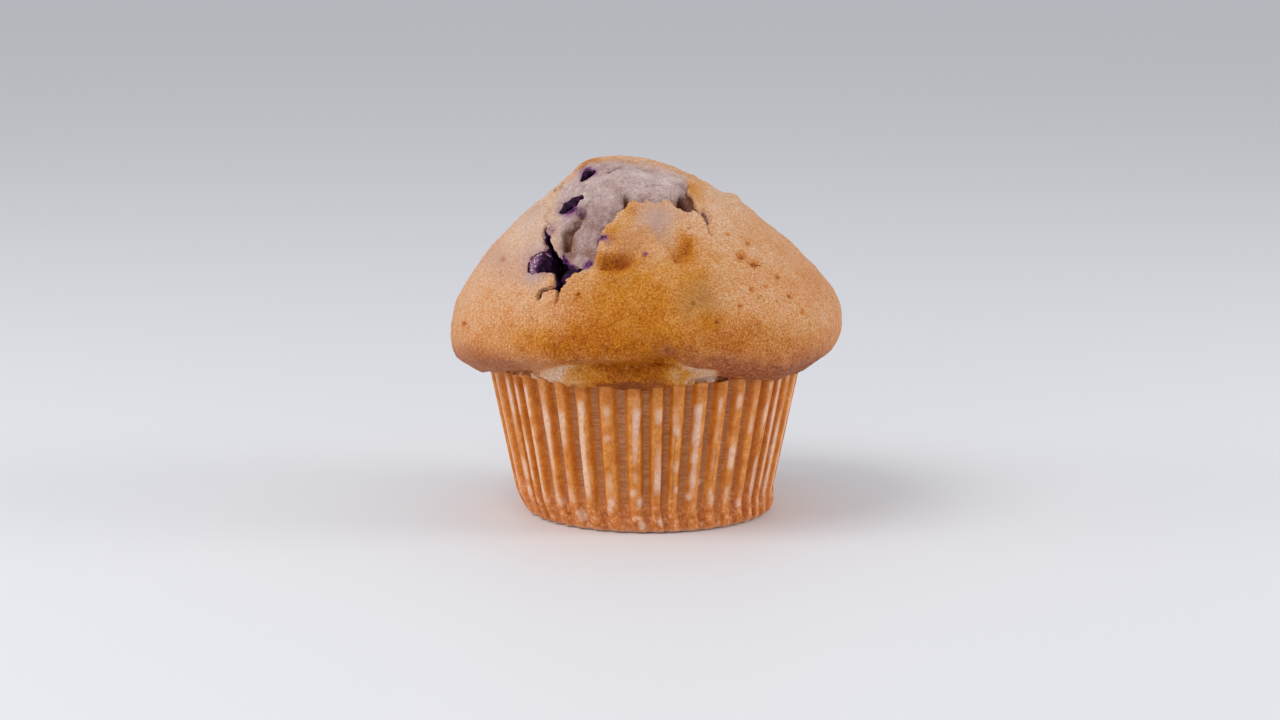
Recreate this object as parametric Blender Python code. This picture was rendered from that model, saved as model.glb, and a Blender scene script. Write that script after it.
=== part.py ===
"""A large blueberry muffin in its pleated paper case, built at its real size.

The cake is one solid: a tapering body that fills the case, a mushroom cap that overhangs the
rim, a tongue of batter that ran down over the rim in front, and a burst on the upper left of
the front. Where the crust burst, pale crumb shows a step below it, a deep fissure runs down its
left side and a narrow crack leaves its right end. Four berries sit in sockets around the burst.

Units are metres, +Z is up, the front faces -Y, and the origin is the middle of the case's base.
"""
import math

import bmesh
import bpy
import numpy as np
from mathutils import Vector
from mathutils.geometry import delaunay_2d_cdt

MM = 0.001

# Paper case
CASE_BASE_RADIUS = 28.0 * MM      # middle line of the pleats, at the base
CASE_TOP_RADIUS = 34.9 * MM       # middle line of the pleats, at the rim
CASE_HEIGHT = 35.0 * MM
PAPER = 0.3 * MM
PLEATS = 39
PLEAT_DEPTH_BASE = 0.6 * MM       # from the middle line to a ridge
PLEAT_DEPTH_TOP = 1.0 * MM
PLEAT_POINTS = ((-0.17, 1), (0.17, 1), (0.33, -1), (0.67, -1))  # share of a pleat, ridge or valley
FOOT_ROUND = 1.0 * MM             # the case's bottom edge is rounded by this much
FOOT_REACH = 0.985                # share of the base's radius that lies flat
FOOT_FOLD = 0.4                   # share of the pleats' depth that is left at the bottom edge
GAP = 0.35 * MM                   # between touching pieces

# Cap of the cake: reach to the left, reach to the right, height, and how much of the lip's lift
# each height takes
CAP_OUTLINE = (
    (38.4 * MM, 37.6 * MM, 31.7 * MM, 1.00),
    (42.4 * MM, 40.4 * MM, 34.2 * MM, 0.90),
    (44.4 * MM, 43.2 * MM, 37.1 * MM, 0.60),
    (44.8 * MM, 44.8 * MM, 42.2 * MM, 0.30),
    (43.5 * MM, 43.9 * MM, 48.2 * MM, 0.10),
    (40.4 * MM, 40.2 * MM, 53.9 * MM, 0.00),
    (34.8 * MM, 33.2 * MM, 61.0 * MM, 0.00),
    (27.2 * MM, 25.6 * MM, 68.0 * MM, 0.00),
    (21.3 * MM, 18.6 * MM, 73.0 * MM, 0.00),
    (16.9 * MM, 10.3 * MM, 77.0 * MM, 0.00),
    (13.3 * MM, 2.4 * MM, 80.0 * MM, 0.00),
    (6.0 * MM, -6.0 * MM, 81.4 * MM, 0.00),
)
CAP_STEPS = 2                     # rings between two points of the outline
COLUMNS = 76                      # points around the cake
FLOOR_REACH = 0.94                # share of the body's radius that its flat floor takes up
LIP_TUCK = 0.8 * MM               # the lip's underside rises this much towards the case
NECK_LOW = 2.6 * MM               # the cake goes down outside the rim by at most this much
NECK_FLARE = 0.2 * MM
LIP_LIFT = 9.3 * MM
LIP_COURSE = (                    # degrees from the front, share of LIP_LIFT that the lip rises
    (-180, 0.24), (-150, 0.30), (-120, 0.16), (-90, 0.12), (-75, 0.22), (-55, 0.46), (-45, 0.53),
    (-35, 0.59), (-25, 0.71), (-10, 0.83), (0, 0.88), (7, 0.96), (11, 0.85), (14, 0.66), (20, 0.53),
    (31, 0.40), (47, 0.23), (60, 0.20), (75, 0.17), (95, 0.12), (120, 0.16), (150, 0.12), (180, 0.24),
)
LIP_COURSE_STEPS = 6

# Tongue of batter below the lip, in front
TONGUE_RADIUS = 36.2 * MM         # of its middle line around the axis
TONGUE_HEIGHT = 37.3 * MM
TONGUE_THICK = 2.8 * MM           # half its size outwards
TONGUE_TALL = 3.5 * MM            # half its size up
TONGUE_RISE = 1.4 * MM            # its ends lie this much higher than its middle
TONGUE_SPAN = (-40.0, 25.0)       # degrees from the front
TONGUE_ENDS = (0.06, 0.94)        # the stretch of a half wave that its thickness follows
TONGUE_FULLNESS = 0.55
TONGUE_SECTIONS = 11
TONGUE_SIDES = 10

# Marks on the cap are drawn on a flat sheet through the origin, as distances (right, up) in
# millimetres. The sheet faces the eye, and each mark is carried along a straight line from the
# eye to where that line meets the cap.
EYE = Vector((-1.04, -684.0, 154.8)) * MM
SHEET_LEAN = math.radians(10.0)
NEAR_SHARE = 0.92                 # the cap lies in this last part of every line from the eye
LINE_SAMPLES = 81

# Burst in the crust
BURST_STEP = 1.2 * MM             # the crumb lies this far below the crust
BURST_GRID = 3.5                  # millimetres between the points that shape the crumb
BURST_OUTLINE = (
    (-20.4, 49.4), (-16.1, 54.3), (-11.9, 55.5), (-9.4, 62.7), (-6.7, 66.8), (-2.7, 69.8),
    (5.4, 69.9), (10.8, 68.2), (9.9, 73.6), (10.3, 76.0), (2.4, 79.2), (-10.3, 79.4),
    (-16.1, 77.6), (-20.6, 73.0), (-22.8, 68.0), (-22.6, 61.8), (-21.6, 55.6),
)
FISSURE_OUTLINE = (
    (-22.6, 63.6), (-23.2, 61.6), (-22.2, 59.0), (-22.0, 54.7), (-21.0, 54.0), (-21.2, 50.6),
    (-20.2, 48.8), (-19.3, 51.0), (-16.4, 54.2), (-19.1, 56.4), (-20.6, 59.2), (-21.4, 61.4),
)
FISSURE_DEPTH = 5.5 * MM
CRACK_OUTLINE = (
    (7.9, 68.6), (11.0, 68.3), (13.6, 66.0), (14.9, 64.4), (15.3, 62.4), (15.9, 62.6),
    (15.6, 65.6), (14.6, 68.6), (11.2, 70.9), (8.2, 72.4),
)
CRACK_DEPTH = 2.2 * MM
CUTS = (
    ("burst_cutter", BURST_OUTLINE, BURST_STEP, BURST_GRID),
    ("fissure_cutter", FISSURE_OUTLINE, FISSURE_DEPTH, 3.0),
    ("crack_cutter", CRACK_OUTLINE, CRACK_DEPTH, 3.0),
)
CUTTER_RISE = 3.0 * MM            # how far a cutter stands out of the cap

# Berries: place on the sheet, radius, how far the middle lies below the cap, flattening
BERRIES = {
    "berry_front": ((-24.7, 56.3), 4.1 * MM, 3.0 * MM, 0.90),
    "berry_upper": ((-16.9, 70.5), 3.3 * MM, 2.4 * MM, 0.92),
    "berry_fissure": ((-17.0, 53.8), 3.6 * MM, 3.9 * MM, 0.94),
    "berry_peak": ((-13.2, 77.2), 2.8 * MM, 2.3 * MM, 0.95),
}
BERRY_SEGMENTS, BERRY_RINGS = 16, 9

COLOURS = {
    "cake": (0.50, 0.22, 0.07),
    "paper_case": (0.46, 0.20, 0.08),
    "berry": (0.06, 0.02, 0.06),
}


def clear_scene():
    for obj in list(bpy.data.objects):
        bpy.data.objects.remove(obj)


def material(name, colour, roughness):
    made = bpy.data.materials.new(name)
    made.use_nodes = True
    shader = made.node_tree.nodes["Principled BSDF"]
    shader.inputs["Base Color"].default_value = (*colour, 1.0)
    shader.inputs["Roughness"].default_value = roughness
    shader.inputs["Metallic"].default_value = 0.0
    return made


def add_object(name, mesh_builder, finish):
    """Turns a bmesh into a named object, smooth but for its sharp edges."""
    mesh = bpy.data.meshes.new(name)
    bmesh.ops.recalc_face_normals(mesh_builder, faces=mesh_builder.faces)
    mesh_builder.to_mesh(mesh)
    mesh_builder.free()
    mesh.shade_smooth()
    mesh.set_sharp_from_angle(angle=math.radians(50))
    obj = bpy.data.objects.new(name, mesh)
    bpy.context.scene.collection.objects.link(obj)
    if finish:
        mesh.materials.append(finish)
    return obj


def hide_helper(obj):
    obj.hide_render = True
    obj.display_type = "WIRE"


def boolean(obj, other, operation):
    modifier = obj.modifiers.new(other.name, "BOOLEAN")
    modifier.object = other
    modifier.operation = operation
    modifier.solver = "EXACT"


def bridge(builder, lower, upper):
    """Quads between two closed rings of vertices with as many points."""
    count = len(lower)
    for i in range(count):
        j = (i + 1) % count
        builder.faces.new((lower[i], lower[j], upper[j], upper[i]))


def add_ring(builder, points):
    return [builder.verts.new(p) for p in points]


# ---------------------------------------------------------------------------------------- case


def case_radius(height):
    share = height / CASE_HEIGHT
    return CASE_BASE_RADIUS + (CASE_TOP_RADIUS - CASE_BASE_RADIUS) * share


def pleat_depth(height):
    share = height / CASE_HEIGHT
    return PLEAT_DEPTH_BASE + (PLEAT_DEPTH_TOP - PLEAT_DEPTH_BASE) * share


def pleated_ring(height, inset, fold=1.0, reach=1.0):
    """One turn of the pleats: a ridge and a valley, each two points wide, for every pleat."""
    points = []
    radius, depth = (case_radius(height) - inset) * reach, pleat_depth(height) * fold
    for pleat in range(PLEATS):
        for place, side in PLEAT_POINTS:
            angle = 2 * math.pi * (pleat + place) / PLEATS
            r = radius + side * depth
            points.append((r * math.cos(angle), r * math.sin(angle), height))
    return points


def build_case():
    """A cup of thin paper: pleated wall, rounded bottom edge, flat floor."""
    builder = bmesh.new()
    half = PAPER / 2
    rings = [add_ring(builder, pleated_ring(0.0, 0.0, fold=FOOT_FOLD, reach=FOOT_REACH))]
    for height in (FOOT_ROUND, CASE_HEIGHT):
        rings.append(add_ring(builder, pleated_ring(height, -half)))
    for height in (CASE_HEIGHT, FOOT_ROUND + half):
        rings.append(add_ring(builder, pleated_ring(height, half)))
    floor = pleated_ring(0.0, half, fold=FOOT_FOLD, reach=FOOT_REACH)
    rings.append(add_ring(builder, [(x, y, PAPER) for x, y, _ in floor]))
    for lower, upper in zip(rings, rings[1:]):
        bridge(builder, lower, upper)
    builder.faces.new(reversed(rings[0]))
    builder.faces.new(rings[-1])
    return add_object("paper_case", builder, material("paper", COLOURS["paper_case"], 0.55))


# ---------------------------------------------------------------------------------------- cake


def catmull_rom(points, steps):
    """A smooth curve through all the points, with `steps` stretches between each two."""
    points = np.array(points, float)
    padded = np.vstack([2 * points[0] - points[1], points, 2 * points[-1] - points[-2]])
    curve = []
    for a, b, c, d in zip(padded, padded[1:], padded[2:], padded[3:]):
        for t in np.arange(steps) / steps:
            curve.append(
                0.5 * (2 * b + (c - a) * t + (2 * a - 5 * b + 4 * c - d) * t * t
                       + (3 * b - a - 3 * c + d) * t ** 3)
            )
    curve.append(points[-1])
    return np.array(curve)


CAP_CURVE = catmull_rom(CAP_OUTLINE, CAP_STEPS)


def degrees_from_front(angle):
    """Angle from the front in degrees, from -180 to 180 and positive towards the right."""
    return (np.degrees(angle) + 90.0 + 180.0) % 360.0 - 180.0


def lip_lift(angle):
    """How far the cap's lip is raised: most in front, a little at the back, uneven all round."""
    turns, shares = catmull_rom(LIP_COURSE, LIP_COURSE_STEPS).T
    return LIP_LIFT * np.interp(degrees_from_front(angle), turns, shares)


def lobes(angle):
    """The cap bulges unevenly: broad to the left and right, a little less in front and behind."""
    turn = np.radians(degrees_from_front(angle))
    return (1.0 - 0.022 * np.cos(turn) ** 2 + 0.008 * np.sin(3 * turn) ** 2 * np.cos(turn)
            + 0.006 * np.sin(5 * turn + 0.6) * np.cos(turn))


def fill_outline(outline, spacing):
    """Triangles that fill a closed outline, with points of a grid inside it."""
    corners = [Vector(place) for place in outline]
    points = list(corners)
    rights, ups = zip(*outline)
    for up in np.arange(min(ups) + spacing / 2, max(ups), spacing):
        for right in np.arange(min(rights) + spacing / 2, max(rights), spacing):
            place = Vector((float(right), float(up)))
            if min((place - corner).length for corner in corners) > spacing / 2:
                points.append(place)
    face = list(range(len(corners)))
    places, _, triangles, *_ = delaunay_2d_cdt(points, [], [face], 1, 1e-6)
    used = sorted({corner for triangle in triangles for corner in triangle})
    number = {old: new for new, old in enumerate(used)}
    kept = [[number[corner] for corner in triangle] for triangle in triangles]
    return [places[old] for old in used], kept


def cap_reach(height):
    """Radius of the cap and its middle's place along X, at a height where nothing lifts it."""
    upper = CAP_CURVE[CAP_CURVE[:, 2] >= CAP_OUTLINE[2][2]]
    left, right = (float(np.interp(height, upper[:, 2], upper[:, side])) for side in (0, 1))
    return (left + right) / 2, (right - left) / 2


def cap_excess(point):
    """How far a point lies outside the cap, measured level; negative inside."""
    radius, middle = cap_reach(point.z)
    x = point.x - middle
    above = max(point.z - CAP_OUTLINE[-1][2], 0.0)
    return math.hypot(x, point.y) - radius * float(lobes(math.atan2(point.y, x))) + above


def on_cap(right, up):
    """The point of the cap, towards the front, that a mark of the sheet is carried to.

    A mark that just misses the cap goes to where its line passes closest.
    """
    mark = Vector((right, up * math.sin(SHEET_LEAN), up * math.cos(SHEET_LEAN)))
    line = [EYE.lerp(mark, share) for share in np.linspace(NEAR_SHARE, 1.0, LINE_SAMPLES)]
    excess = [cap_excess(point) for point in line]
    if min(excess) >= 0.0:
        return line[excess.index(min(excess))]
    first = next(i for i, value in enumerate(excess) if value < 0.0)
    outside, inside = line[first - 1], line[first]
    share = excess[first - 1] / (excess[first - 1] - excess[first])
    return outside.lerp(inside, share)


def cap_normal(point):
    """Outward direction of the cap at a point on it."""
    step = 1.0 * MM
    slope = (cap_reach(point.z - step)[0] - cap_reach(point.z + step)[0]) / (2 * step)
    flat = Vector((point.x - cap_reach(point.z)[1], point.y, 0.0)).normalized()
    return (flat + Vector((0.0, 0.0, slope))).normalized()


def cake_rings():
    """The cake's outline turned around its axis, ring by ring, from its floor to its peak."""
    angle = 2 * math.pi * np.arange(COLUMNS) / COLUMNS
    floor, rim = PAPER + GAP, CASE_HEIGHT + GAP
    clearance = PAPER / 2 + GAP

    def body_radius(height):
        return case_radius(height) - pleat_depth(height) - clearance

    slot_outer = case_radius(CASE_HEIGHT) + pleat_depth(CASE_HEIGHT) + clearance
    lift = lip_lift(angle)
    still = np.zeros(COLUMNS)
    plain = [
        (body_radius(0.0) * FLOOR_REACH, floor),
        (body_radius(FOOT_ROUND), floor + FOOT_ROUND),
        (body_radius(0.5 * CASE_HEIGHT), 0.5 * CASE_HEIGHT),
        (body_radius(CASE_HEIGHT), rim),
        (slot_outer, rim),
    ]
    rings = [(np.full(COLUMNS, r), still + z, 0.0) for r, z in plain]
    lip_edge = np.maximum(CAP_OUTLINE[0][2] + LIP_TUCK + lift, rim - NECK_LOW)
    rings.append((np.full(COLUMNS, slot_outer + NECK_FLARE), lip_edge, 0.0))
    for left, right, z, share in CAP_CURVE[:-1]:
        rings.append(((left + right) / 2 * lobes(angle), z + share * lift, (right - left) / 2))
    points = []
    for r, z, middle in rings:
        points.append(np.stack([middle + r * np.cos(angle), r * np.sin(angle), z], axis=-1))
    return np.array(points)


def build_cake_body():
    builder = bmesh.new()
    rings = [add_ring(builder, ring) for ring in cake_rings()]
    for lower, upper in zip(rings, rings[1:]):
        bridge(builder, lower, upper)
    builder.faces.new(reversed(rings[0]))
    peak = builder.verts.new((CAP_OUTLINE[-1][1], 0.0, CAP_OUTLINE[-1][2]))
    for i in range(COLUMNS):
        builder.faces.new((rings[-1][i], rings[-1][(i + 1) % COLUMNS], peak))
    return add_object("cake", builder, material("crust", COLOURS["cake"], 0.75))


def build_tongue():
    """A roll of batter bent around the case's rim, thin at its ends."""
    builder = bmesh.new()
    rings = []
    for i in range(TONGUE_SECTIONS):
        share = i / (TONGUE_SECTIONS - 1)
        turn = math.radians(TONGUE_SPAN[0] + share * (TONGUE_SPAN[1] - TONGUE_SPAN[0]) - 90)
        wave = math.pi * (TONGUE_ENDS[0] + (TONGUE_ENDS[1] - TONGUE_ENDS[0]) * share)
        size = math.sin(wave) ** TONGUE_FULLNESS
        points = []
        for j in range(TONGUE_SIDES):
            side = 2 * math.pi * j / TONGUE_SIDES
            r = TONGUE_RADIUS + TONGUE_THICK * size * math.cos(side)
            z = TONGUE_HEIGHT + TONGUE_RISE * (1 - size) + TONGUE_TALL * size * math.sin(side)
            points.append((r * math.cos(turn), r * math.sin(turn), z))
        rings.append(add_ring(builder, points))
    for lower, upper in zip(rings, rings[1:]):
        bridge(builder, lower, upper)
    builder.faces.new(rings[0])
    builder.faces.new(reversed(rings[-1]))
    tongue = add_object("tongue_helper", builder, None)
    hide_helper(tongue)
    return tongue


def build_rim_cutter():
    """The band that the case's rim fills, which the tongue must leave free."""
    builder = bmesh.new()
    clearance = 1.2 * GAP
    half_width = pleat_depth(CASE_HEIGHT) + PAPER / 2 + clearance
    inner, outer = case_radius(CASE_HEIGHT) - half_width, case_radius(CASE_HEIGHT) + half_width
    low, high = TONGUE_HEIGHT - 2 * TONGUE_TALL, CASE_HEIGHT + clearance
    rings = []
    for r, z in ((inner, low), (outer, low), (outer, high), (inner, high)):
        turns = [2 * math.pi * i / COLUMNS for i in range(COLUMNS)]
        rings.append(add_ring(builder, [(r * math.cos(a), r * math.sin(a), z) for a in turns]))
    for lower, upper in zip(rings, rings[1:] + rings[:1]):
        bridge(builder, lower, upper)
    cutter = add_object("rim_cutter", builder, None)
    hide_helper(cutter)
    return cutter


def build_cutter(name, outline, depth, spacing):
    """A slab that follows the cap's surface inside an outline, from above it to below it."""
    builder = bmesh.new()
    places, triangles = fill_outline(outline, spacing)
    top, bottom = [], []
    for right, up in places:
        point = on_cap(right * MM, up * MM)
        outward = cap_normal(point)
        top.append(builder.verts.new(point + outward * CUTTER_RISE))
        bottom.append(builder.verts.new(point - outward * depth))
    rims = {}
    for triangle in triangles:
        builder.faces.new([top[i] for i in triangle])
        builder.faces.new([bottom[i] for i in reversed(triangle)])
        for a, b in zip(triangle, triangle[1:] + triangle[:1]):
            rims[(a, b)] = (b, a) not in rims
            if (b, a) in rims:
                rims[(b, a)] = False
    for (a, b), outer in rims.items():
        if outer:
            builder.faces.new((top[b], top[a], bottom[a], bottom[b]))
    cutter = add_object(name, builder, None)
    hide_helper(cutter)
    return cutter


# ------------------------------------------------------------------------------------- berries


def build_ball(name, centre, outward, radius, flattening, finish):
    """A berry: a ball flattened along the way it faces."""
    builder = bmesh.new()
    bmesh.ops.create_uvsphere(
        builder, u_segments=BERRY_SEGMENTS, v_segments=BERRY_RINGS, radius=radius
    )
    bmesh.ops.scale(builder, vec=(1.0, 1.0, flattening), verts=builder.verts)
    ball = add_object(name, builder, finish)
    ball.location = centre
    ball.rotation_mode = "QUATERNION"
    ball.rotation_quaternion = outward.to_track_quat("Z", "Y")
    return ball


def build_berries(cake):
    """Each berry, and the socket that it sits in."""
    finish = material("berry", COLOURS["berry"], 0.4)
    for name, ((right, up), radius, sunk, flattening) in BERRIES.items():
        place = on_cap(right * MM, up * MM)
        outward = cap_normal(place)
        centre = place - outward * sunk
        build_ball(name, centre, outward, radius, flattening, finish)
        socket = build_ball(name + "_socket", centre, outward, radius + GAP, flattening, None)
        hide_helper(socket)
        boolean(cake, socket, "DIFFERENCE")


def main():
    clear_scene()
    build_case()
    cake = build_cake_body()
    tongue = build_tongue()
    boolean(tongue, build_rim_cutter(), "DIFFERENCE")
    boolean(cake, tongue, "UNION")
    for name, outline, depth, spacing in CUTS:
        boolean(cake, build_cutter(name, outline, depth, spacing), "DIFFERENCE")
    build_berries(cake)


main()
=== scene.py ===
"""Looks of the muffin: cake with its torn crust and crumb, berries, pleated paper case, plain studio.

The cake's surface starts as a smooth turned shape. It becomes a field of signed distances on a
grid (negative inside), in which the crust, the torn crumb, the fissure, the cracks and the pores are
modelled, and the field's zero level is the mesh. All modelling is done in millimetres in the CAD
frame (+Z up, front towards -Y) and scaled to metres when a mesh is made.

Marks on the front are placed on the "front sheet": a flat sheet through the origin that faces the
eye, on which every point of the cake falls where the eye sees it. Its two numbers are right and up.
"""
import math

import bmesh
import bpy
import numpy as np
import openvdb
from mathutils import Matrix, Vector


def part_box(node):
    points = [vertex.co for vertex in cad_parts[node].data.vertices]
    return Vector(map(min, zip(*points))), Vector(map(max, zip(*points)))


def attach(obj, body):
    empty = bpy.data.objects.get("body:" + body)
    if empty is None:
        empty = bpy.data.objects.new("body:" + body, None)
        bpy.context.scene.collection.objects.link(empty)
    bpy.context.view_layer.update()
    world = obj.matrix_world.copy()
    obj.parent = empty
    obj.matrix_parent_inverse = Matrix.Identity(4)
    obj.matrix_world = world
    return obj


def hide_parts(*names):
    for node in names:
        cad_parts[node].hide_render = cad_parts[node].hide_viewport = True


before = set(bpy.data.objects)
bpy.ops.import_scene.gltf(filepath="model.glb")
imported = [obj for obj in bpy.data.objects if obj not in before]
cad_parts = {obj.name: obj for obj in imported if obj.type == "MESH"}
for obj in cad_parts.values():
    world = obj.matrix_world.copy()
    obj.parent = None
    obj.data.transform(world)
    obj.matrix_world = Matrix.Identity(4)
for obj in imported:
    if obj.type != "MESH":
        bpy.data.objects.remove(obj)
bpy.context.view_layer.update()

MM = 0.001


def node_box(node):
    """Lowest and highest corner of a CAD node, in millimetres."""
    low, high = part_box(node)
    return np.array(low) / MM, np.array(high) / MM


CASE_LOW, CASE_HIGH = node_box("paper_case")
RIM_HEIGHT = CASE_HIGH[2]
RIM_RADIUS = (CASE_HIGH[0] - CASE_LOW[0]) / 2  # to the tips of the pleats
FOOT_RADIUS = 0.78 * RIM_RADIUS
TOP = node_box("cake")[1][2]

# The eye that the front sheet belongs to, and the camera
EYE_DISTANCE = 700.5
EYE_ELEVATION = math.radians(10.0)
EYE_SINE, EYE_COSINE = math.sin(EYE_ELEVATION), math.cos(EYE_ELEVATION)
EYE_AIM = (-1.04, 33.66)  # middle of the picture, on the front sheet
LENS, SENSOR = 85.0, 36.0

# the fine field that is carved, and a coarse one that reaches deeper: size of a voxel, and how
# many voxels on each side of the surface hold distances
VOXEL, BAND = 0.32, 8
DEEP_VOXEL, DEEP_BAND = 1.0, 11
CAKE_TRIANGLES = 190_000

# ---- cake's big shape

# reach to the left, reach to the right, height, and how much of the lip's lift each height takes
CAP_OUTLINE = (
    (38.4, 37.6, 31.7, 1), (42.4, 40.4, 34.2, 0.9), (44.4, 43.2, 37.1, 0.6), (44.8, 44.8, 42.2, 0.3),
    (43.5, 43.9, 48.2, 0.1), (40.4, 40.2, 53.9, 0), (34.8, 33.2, 61, 0), (27.2, 25.6, 68, 0),
    (21.3, 18.6, 73, 0), (16.9, 10.3, 77, 0), (13.3, 2.4, 80, 0), (6, -6, 81.4, 0),
)
CAP_STEPS = 8
COLUMNS = 240
LIP_LIFT = 9.3
LIP_COURSE = (
    # degrees from the front, share of LIP_LIFT that the lip is raised by
    (-180, 0.24), (-150, 0.3), (-120, 0.16), (-90, 0.12), (-75, 0.22), (-55, 0.46), (-45, 0.53),
    (-35, 0.59), (-25, 0.71), (-10, 0.83), (0, 0.88), (7, 0.96), (11, 0.85), (14, 0.66), (20, 0.53),
    (31, 0.4), (47, 0.23), (60, 0.2), (75, 0.17), (95, 0.12), (120, 0.16), (150, 0.12), (180, 0.24),
)
WALL_RADIUS = RIM_RADIUS - 1.1  # of the neck between the rim and the lip
PLUG_RADIUS = RIM_RADIUS - 4.0  # of the cake inside the rim
PLUG_FLOOR = RIM_HEIGHT - 8.0

TONGUE_RADIUS, TONGUE_HEIGHT = 36.2, 37.4  # middle line of the tongue below the lip
TONGUE_THICK, TONGUE_TALL, TONGUE_RISE = 2.7, 3.4, 1.3
TONGUE_FROM, TONGUE_TO = -44.0, 25.0  # degrees from the front
TONGUE_MELT = 0.35  # how softly it joins the lip
SLOT_OUT, SLOT_UP, SLOT_IN = 0.25, 0.2, 3.0  # space it leaves outside, over and inside the rim

# ---- marks on the front sheet

BURST_OUTLINE = (
    (-16.1, 78.2), (-10.3, 80.2), (2.4, 80), (6, 78.4), (10.5, 76.6), (10.1, 74.5), (9.9, 72.6),
    (11.2, 70.8), (11.2, 68.6), (10.4, 68), (8.2, 68.7), (5.4, 69.9), (2.6, 70.4), (0.8, 70.3),
    (-1, 69.2), (-2.7, 70.3), (-4.4, 69.3), (-6.6, 67.8), (-6.8, 65.7), (-8.9, 65.2), (-9.4, 62.7),
    (-10.3, 60.1), (-11, 58.3), (-11.9, 55.5), (-14.6, 54.5), (-16.3, 54), (-19.4, 51), (-20.1, 48.8),
    (-20.9, 51), (-21.2, 54.1), (-22, 55.4), (-22.3, 59.6), (-23.1, 61.5), (-22.4, 65), (-22.8, 68),
    (-21.2, 72.4), (-19.6, 74.3),
)
TRENCH_OUTLINE = (
    (-23, 64.2), (-23.6, 62.2), (-23.1, 60.6), (-22.9, 59.2), (-23.3, 57.6), (-23.6, 55.7),
    (-23.1, 54.3), (-21.6, 54), (-21.1, 52.1), (-21.4, 50), (-20.1, 48.9), (-19.3, 49.7), (-18.5, 51.7),
    (-17.1, 52.9), (-16, 54.3), (-17, 55.6), (-18.4, 56.1), (-19.2, 57.7), (-20, 59.2), (-20.9, 60.6),
    (-21.7, 62.6),
)
TRENCH_DEPTH = 6.5
BURST_LOW = np.array([-30.0, -46.0, RIM_HEIGHT + 8.0])  # corners of a box around every tear
BURST_HIGH = np.array([30.0, 10.0, TOP + 2.0])
TEARS_HALF, TEARS_FROM = 28.0, 46.0  # every tear lies within this, sideways and upwards
UNDERCUT = 1.6  # how far the crumb reaches under the crust
MARKS_FROM = RIM_HEIGHT + 4.0  # height on the cake from which marks on the front sheet hold
CRACKS = (
    # points along the crack, half its width, depth
    (((-20, 49.6), (-20.2, 47.8), (-20.5, 47)), 0.34, 1.6),
    (((-20.8, 50.5), (-22.6, 50.1), (-24.4, 49.6), (-24.5, 48.4)), 0.58, 1.7),
    (((10.9, 69.2), (12.2, 68.4), (13.4, 67.2), (14.6, 66.4), (15, 64.8), (15.1, 63.4), (15.6, 62.5)),
     0.26, 1.1),
    (((13.5, 68.1), (14.4, 67.4), (14.9, 66.2)), 0.9, 1.15),
    (((-8.1, 77.3), (-6.6, 77.8), (-5, 78.4)), 0.26, 1),
    (((21.6, 58.2), (22.5, 57.7), (23.2, 57)), 0.22, 0.7),
    (((24.2, 55.9), (25.3, 55.5), (26.4, 55.4)), 0.22, 0.7),
)
GROOVES = (
    # outline of a groove in the crumb, depth
    (((-19.1, 63.4), (-18.2, 64.1), (-16.6, 65.9), (-15.2, 66.4), (-15.6, 65.2), (-16.9, 64.1),
     (-17.5, 62.7), (-17.9, 59.9), (-19.1, 59.7)), 1.5),
    (((-15.2, 69.4), (-14, 69.4), (-14.5, 67.8), (-15.5, 67.1), (-15.9, 68)), 1.5),
    (((-4.8, 72.4), (-4, 72.2), (-3.7, 70.1), (-4.2, 69.4), (-4.8, 70.1)), 1.7),
    (((8.4, 72.4), (9.6, 72.2), (11, 70.6), (11.3, 68.7), (10.5, 68), (8.2, 68.9), (8.2, 70.8)),
     2.7),
)
LEDGE = (
    (-14.7, 69.2), (-15.6, 68.4), (-15.1, 66.6), (-16.6, 66), (-16.8, 65.2), (-18.2, 64.1),
    (-19.1, 63.4), (-19.1, 59.7),
)
FRONT_LIP = (
    (-8.9, 65.2), (-6.6, 67.8), (-2.7, 70.3), (0.8, 70.3), (5.4, 69.9), (8.2, 68.7), (11, 67.9),
)
FOLDS = (
    # line, depth, how far the crust sinks towards it from its left, how sharply it rises on its right
    (((-11.4, 56), (-10.2, 55.2), (-8.2, 54.9), (-6, 55), (-4.4, 55.8), (-3, 57), (-1.4, 58.6)),
     2.7, 2.8, 0.6),
    (((0.4, 64.6), (2.8, 63.1), (5.1, 60.9), (6.6, 58.8), (7.3, 57), (7.4, 55.6)), 1.8, 3, 0.6),
    (((-25.6, 47), (-25.8, 42), (-25.6, 36)), 0.55, 1.6, 1.4),
)
# line of the crease under the front lip, on the front sheet; the tongue gets a painted shade band along
# it
LIP_CREASE = (
    (-30, 30.6), (-25.6, 30.8), (-22.5, 32), (-19.1, 32.8), (-8, 33.3), (-0.9, 33.8), (2.6, 34.5),
    (5.4, 34.4), (9.8, 32.3), (14.4, 31.6), (22, 30),
)


def smoothstep(value):
    value = np.clip(value, 0.0, 1.0)
    return value * value * (3.0 - 2.0 * value)


def bell(distance, width):
    return np.exp(-((distance / width) ** 2))


def catmull_rom(points, steps):
    """A smooth curve through all the points, with `steps` stretches between each two."""
    points = np.array(points, float)
    padded = np.vstack([2 * points[0] - points[1], points, 2 * points[-1] - points[-2]])
    curve = []
    for a, b, c, d in zip(padded, padded[1:], padded[2:], padded[3:]):
        for t in np.arange(steps) / steps:
            curve.append(
                0.5 * (2 * b + (c - a) * t + (2 * a - 5 * b + 4 * c - d) * t * t
                       + (3 * b - a - 3 * c + d) * t ** 3)
            )
    curve.append(points[-1])
    return np.array(curve)


def degrees_from_front(x, y):
    """Angle around the axis from the front, positive towards the right."""
    return np.degrees(np.arctan2(x, -y))


def lip_lift(turn):
    """How far the cap's lip is raised: most in front, a little at the back, uneven all round."""
    turns, shares = catmull_rom(LIP_COURSE, 6).T
    return LIP_LIFT * np.interp(turn, turns, shares)


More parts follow.
